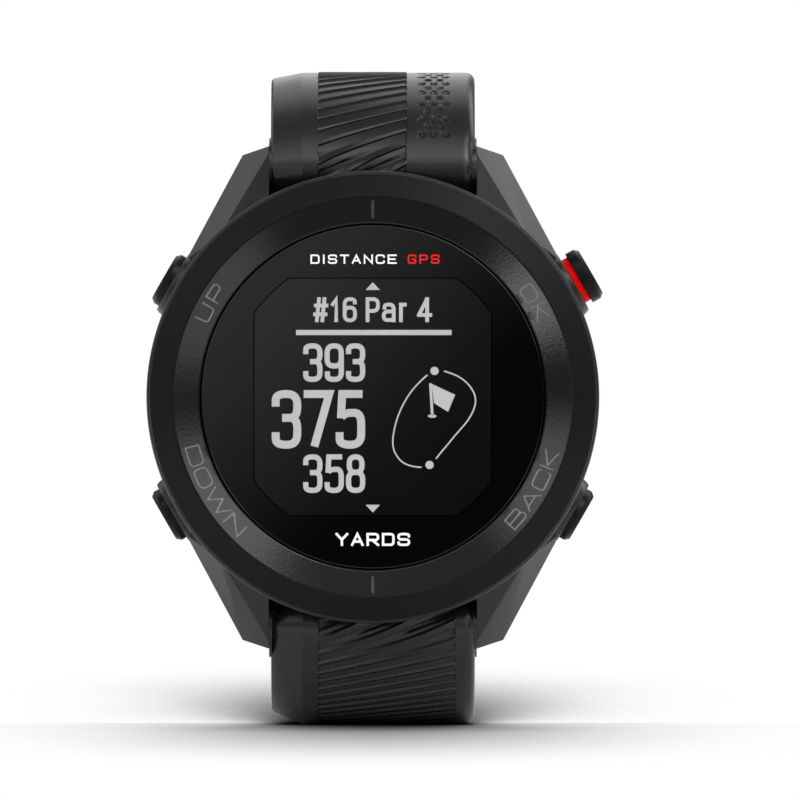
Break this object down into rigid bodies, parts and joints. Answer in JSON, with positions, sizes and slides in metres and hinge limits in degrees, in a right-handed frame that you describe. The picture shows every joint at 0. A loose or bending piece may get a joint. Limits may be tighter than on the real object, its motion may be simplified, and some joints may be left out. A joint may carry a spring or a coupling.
{
  "type": "golf gps watch",
  "caption": "Round black golf GPS watch with side push buttons, an engraved bezel ring, a flat glass and an open two-piece ribbed silicone strap with a pin buckle.",
  "frame": {"origin": "centre of the flat outer face of the case back", "axes": "+X towards 3 o'clock, +Y out of the case back (towards the wrist), +Z towards 12 o'clock; the dial faces -Y and the watch stands on the foot of its lower strap half"},
  "size_m": [0.0437, 0.1058, 0.0632],
  "materials": {
    "case_polymer": "fine satin moulded finish",
    "bezel_polymer": "satin, with engraved legends",
    "lens_glass": "polished",
    "strap_silicone": "matte silicone",
    "button_metal": "satin black",
    "accent_red": "gloss red",
    "seal_rubber": "matte",
    "buckle_steel": "dark satin coating",
    "steel": "bright",
    "contact_gold": "plated",
    "board_laminate": "solder mask",
    "shield_tin": "bright",
    "antenna_ceramic": "matte ceramic",
    "battery_wrap": "foil pouch",
    "flex_film": "polyimide film",
    "display_glass": "reflective dot-matrix panel",
    "diffuser": "white light guide",
    "inner_polymer": "plain moulding",
    "cover_polymer": "satin"
  },
  "bodies": {
    "case": {"mid_case": "case_polymer", "bezel": "bezel_polymer", "lens": "lens_glass", "lens_seal": "seal_rubber", "display_panel": "display_glass", "backlight_guide": "diffuser", "display_frame": "inner_polymer", "display_flex": "flex_film", "main_board": "board_laminate", "processor_shield": "shield_tin", "gps_antenna": "antenna_ceramic", "battery": "battery_wrap", "battery_lead": "flex_film", "back_cover": "cover_polymer", "back_gasket": "seal_rubber", "contact_block": "inner_polymer", "back_screw_1": "steel", "back_screw_2": "steel", "back_screw_3": "steel", "back_screw_4": "steel", "charge_contact_1": "contact_gold", "charge_contact_2": "contact_gold", "charge_contact_3": "contact_gold", "charge_contact_4": "contact_gold", "up_switch": "inner_polymer", "down_switch": "inner_polymer", "ok_switch": "inner_polymer", "back_switch": "inner_polymer"},
    "upper_strap_half": {"strap_upper": "strap_silicone", "fixed_keeper": "strap_silicone", "upper_bar_tube": "steel", "upper_bar_spring": "steel"},
    "upper_release": {"upper_release_pin": "steel"},
    "lower_strap_half": {"strap_lower": "strap_silicone", "lower_bar_tube": "steel", "lower_bar_spring": "steel"},
    "lower_release": {"lower_release_pin": "steel"},
    "loose_keeper": {"free_keeper": "strap_silicone"},
    "buckle": {"buckle_frame": "buckle_steel", "buckle_bar": "steel"},
    "tongue": {"buckle_tongue": "buckle_steel"},
    "up_push": {"up_button": "button_metal", "up_button_seal": "seal_rubber", "up_button_clip": "steel", "up_switch_plunger": "antenna_ceramic"},
    "down_push": {"down_button": "button_metal", "down_button_seal": "seal_rubber", "down_button_clip": "steel", "down_switch_plunger": "antenna_ceramic"},
    "ok_push": {"ok_button": "button_metal", "ok_button_seal": "seal_rubber", "ok_button_clip": "steel", "ok_switch_plunger": "antenna_ceramic", "ok_accent_ring": "accent_red"},
    "back_push": {"back_button": "button_metal", "back_button_seal": "seal_rubber", "back_button_clip": "steel", "back_switch_plunger": "antenna_ceramic"}
  },
  "joints": [
    {"name": "up_press", "type": "slide", "parent": "case", "child": "up_push", "axis": [0.866, 0, -0.5], "range_m": [0, 0.0006], "stiffness_N_per_m": 1500, "springref_m": -0.0003},
    {"name": "down_press", "type": "slide", "parent": "case", "child": "down_push", "axis": [0.866, 0, 0.5], "range_m": [0, 0.0006], "stiffness_N_per_m": 1500, "springref_m": -0.0003},
    {"name": "ok_press", "type": "slide", "parent": "case", "child": "ok_push", "axis": [-0.866, 0, -0.5], "range_m": [0, 0.0006], "stiffness_N_per_m": 1500, "springref_m": -0.0003},
    {"name": "back_press", "type": "slide", "parent": "case", "child": "back_push", "axis": [-0.866, 0, 0.5], "range_m": [0, 0.0006], "stiffness_N_per_m": 1500, "springref_m": -0.0003},
    {"name": "upper_strap_hinge", "type": "hinge", "parent": "case", "child": "upper_strap_half", "pos_m": [0, -0.0036, 0.022], "axis": [1, 0, 0], "range_deg": [-12, 30]},
    {"name": "lower_strap_hinge", "type": "hinge", "parent": "case", "child": "lower_strap_half", "pos_m": [0, -0.0036, -0.022], "axis": [-1, 0, 0], "range_deg": [-5, 30]},
    {"name": "upper_release_slide", "type": "slide", "parent": "upper_strap_half", "child": "upper_release", "axis": [1, 0, 0], "range_m": [0, 0.0013], "stiffness_N_per_m": 800, "springref_m": -0.0005, "deforming": ["upper_bar_spring"]},
    {"name": "lower_release_slide", "type": "slide", "parent": "lower_strap_half", "child": "lower_release", "axis": [1, 0, 0], "range_m": [0, 0.0013], "stiffness_N_per_m": 800, "springref_m": -0.0005, "deforming": ["lower_bar_spring"]},
    {"name": "free_keeper_slide", "type": "hinge", "parent": "upper_strap_half", "child": "loose_keeper", "pos_m": [0, 0.01464, 0.00462], "axis": [-1, 0, 0], "range_deg": [-43, 14]},
    {"name": "buckle_hinge", "type": "hinge", "parent": "upper_strap_half", "child": "buckle", "pos_m": [0, 0.04044, -0.00383], "axis": [1, 0, 0], "range_deg": [-80, 20]},
    {"name": "tongue_hinge", "type": "hinge", "parent": "buckle", "child": "tongue", "pos_m": [0, 0.04044, -0.00383], "axis": [1, 0, 0], "range_deg": [0, 80]}
  ]
}
